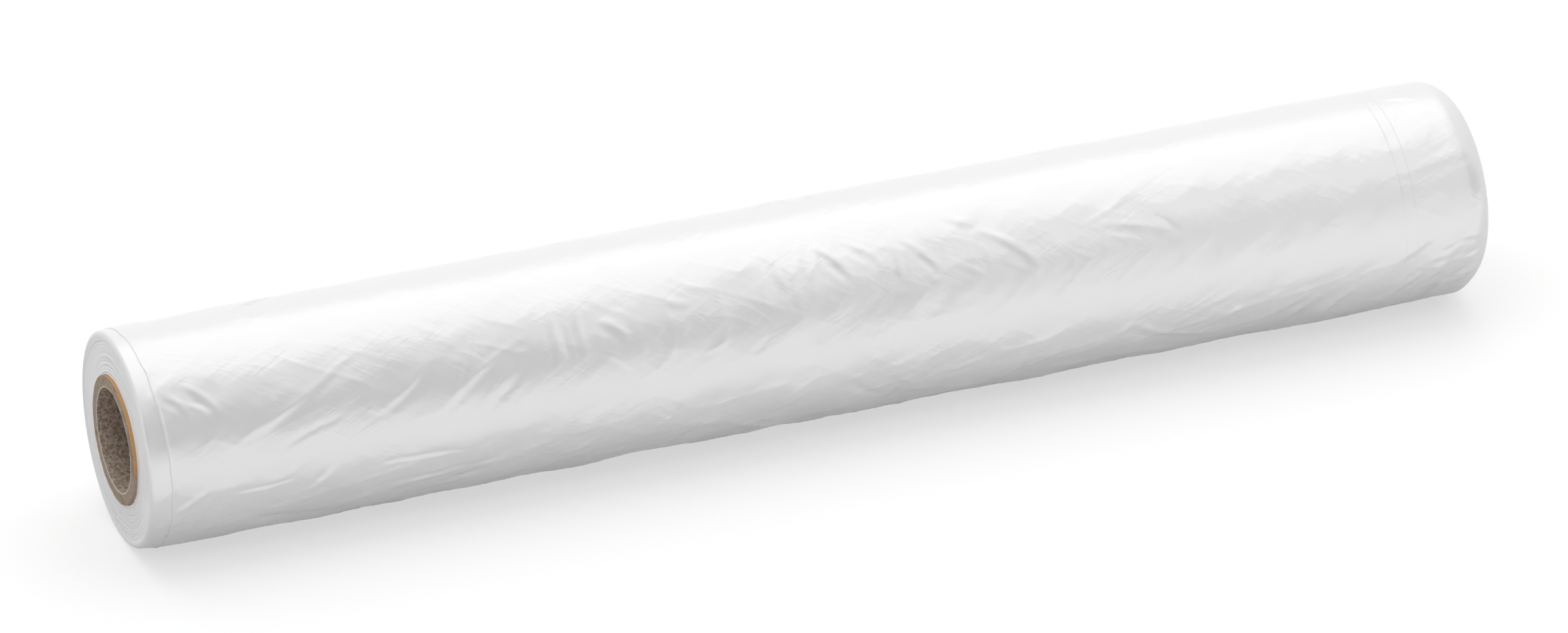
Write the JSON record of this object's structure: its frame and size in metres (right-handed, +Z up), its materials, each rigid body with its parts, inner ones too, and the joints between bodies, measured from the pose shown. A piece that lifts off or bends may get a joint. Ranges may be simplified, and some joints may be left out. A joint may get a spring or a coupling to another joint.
{
  "type": "roll of plastic sheeting",
  "caption": "Wide roll of folded white plastic sheeting wound on a paper core, lying on its side, with turns showing at the ends.",
  "frame": {"origin": "centre of the roll's length, on the floor under it", "axes": "+X along the roll's axis towards the rounded end, +Y away from the viewer, +Z up"},
  "size_m": [1.044, 0.1603, 0.1588],
  "materials": {
    "core_board": "raw grey-brown board",
    "sheet": "milky white film with a soft sheen"
  },
  "bodies": {
    "root": {"core": "core_board", "film": "sheet"}
  },
  "joints": []
}
